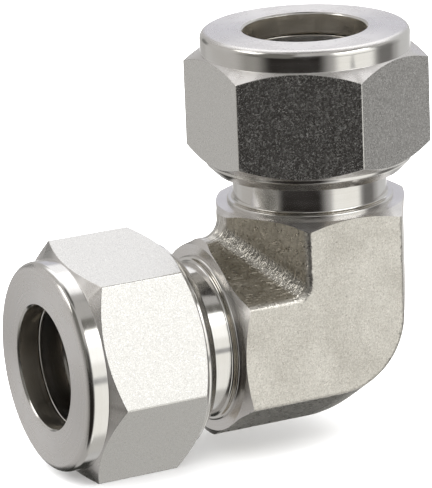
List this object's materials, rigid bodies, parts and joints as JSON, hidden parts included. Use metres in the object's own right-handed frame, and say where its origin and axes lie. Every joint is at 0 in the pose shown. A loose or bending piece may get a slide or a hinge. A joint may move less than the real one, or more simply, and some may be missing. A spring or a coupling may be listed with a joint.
{
  "type": "compression fitting",
  "caption": "Ninety degree union elbow that grips a tube in each port with a screwed hexagon nut over a front and a back ferrule.",
  "frame": {"origin": "where the axes of the two ports cross, inside the elbow", "axes": "+Z out through the upper port, -X out through the side port, -Y and +Y square to the elbow's two large flats"},
  "size_m": [0.0428, 0.0256, 0.0434],
  "materials": {
    "forged_steel": "forged stainless steel, bead blasted, with turned ends",
    "machined_steel": "bar stainless steel, satin flats and turned ends",
    "ferrule_steel": "fine turned stainless steel"
  },
  "bodies": {
    "elbow": {"elbow_body": "forged_steel"},
    "upper_front_ferrule": {"upper_front_ferrule": "ferrule_steel"},
    "upper_back_ferrule": {"upper_back_ferrule": "ferrule_steel"},
    "upper_nut": {"upper_nut": "machined_steel"},
    "side_front_ferrule": {"side_front_ferrule": "ferrule_steel"},
    "side_back_ferrule": {"side_back_ferrule": "ferrule_steel"},
    "side_nut": {"side_nut": "machined_steel"}
  },
  "joints": [
    {"name": "upper_back_ferrule_slide", "type": "slide", "parent": "elbow", "child": "upper_back_ferrule", "axis": [0, 0, 1], "range_m": [0, 0.00794]},
    {"name": "upper_nut_turn", "type": "hinge", "parent": "upper_back_ferrule", "child": "upper_nut", "pos_m": [0, 0, 0.0235], "axis": [0, 0, 1], "range_deg": [0, 2250]},
    {"name": "upper_front_ferrule_slide", "type": "slide", "parent": "elbow", "child": "upper_front_ferrule", "axis": [0, 0, 1], "range_m": [0, 0.00397]},
    {"name": "side_back_ferrule_slide", "type": "slide", "parent": "elbow", "child": "side_back_ferrule", "axis": [-1, 0, 0], "range_m": [0, 0.00794]},
    {"name": "side_nut_turn", "type": "hinge", "parent": "side_back_ferrule", "child": "side_nut", "pos_m": [-0.0235, 0, 0], "axis": [-1, 0, 0], "range_deg": [0, 2250]},
    {"name": "side_front_ferrule_slide", "type": "slide", "parent": "elbow", "child": "side_front_ferrule", "axis": [-1, 0, 0], "range_m": [0, 0.00397]}
  ],
  "couplings": [
    {"joint": "upper_back_ferrule_slide", "follows": "upper_nut_turn", "m_per_rad": 0.00020213},
    {"joint": "upper_front_ferrule_slide", "follows": "upper_nut_turn", "m_per_rad": 0.00010106},
    {"joint": "side_back_ferrule_slide", "follows": "side_nut_turn", "m_per_rad": 0.00020213},
    {"joint": "side_front_ferrule_slide", "follows": "side_nut_turn", "m_per_rad": 0.00010106}
  ]
}
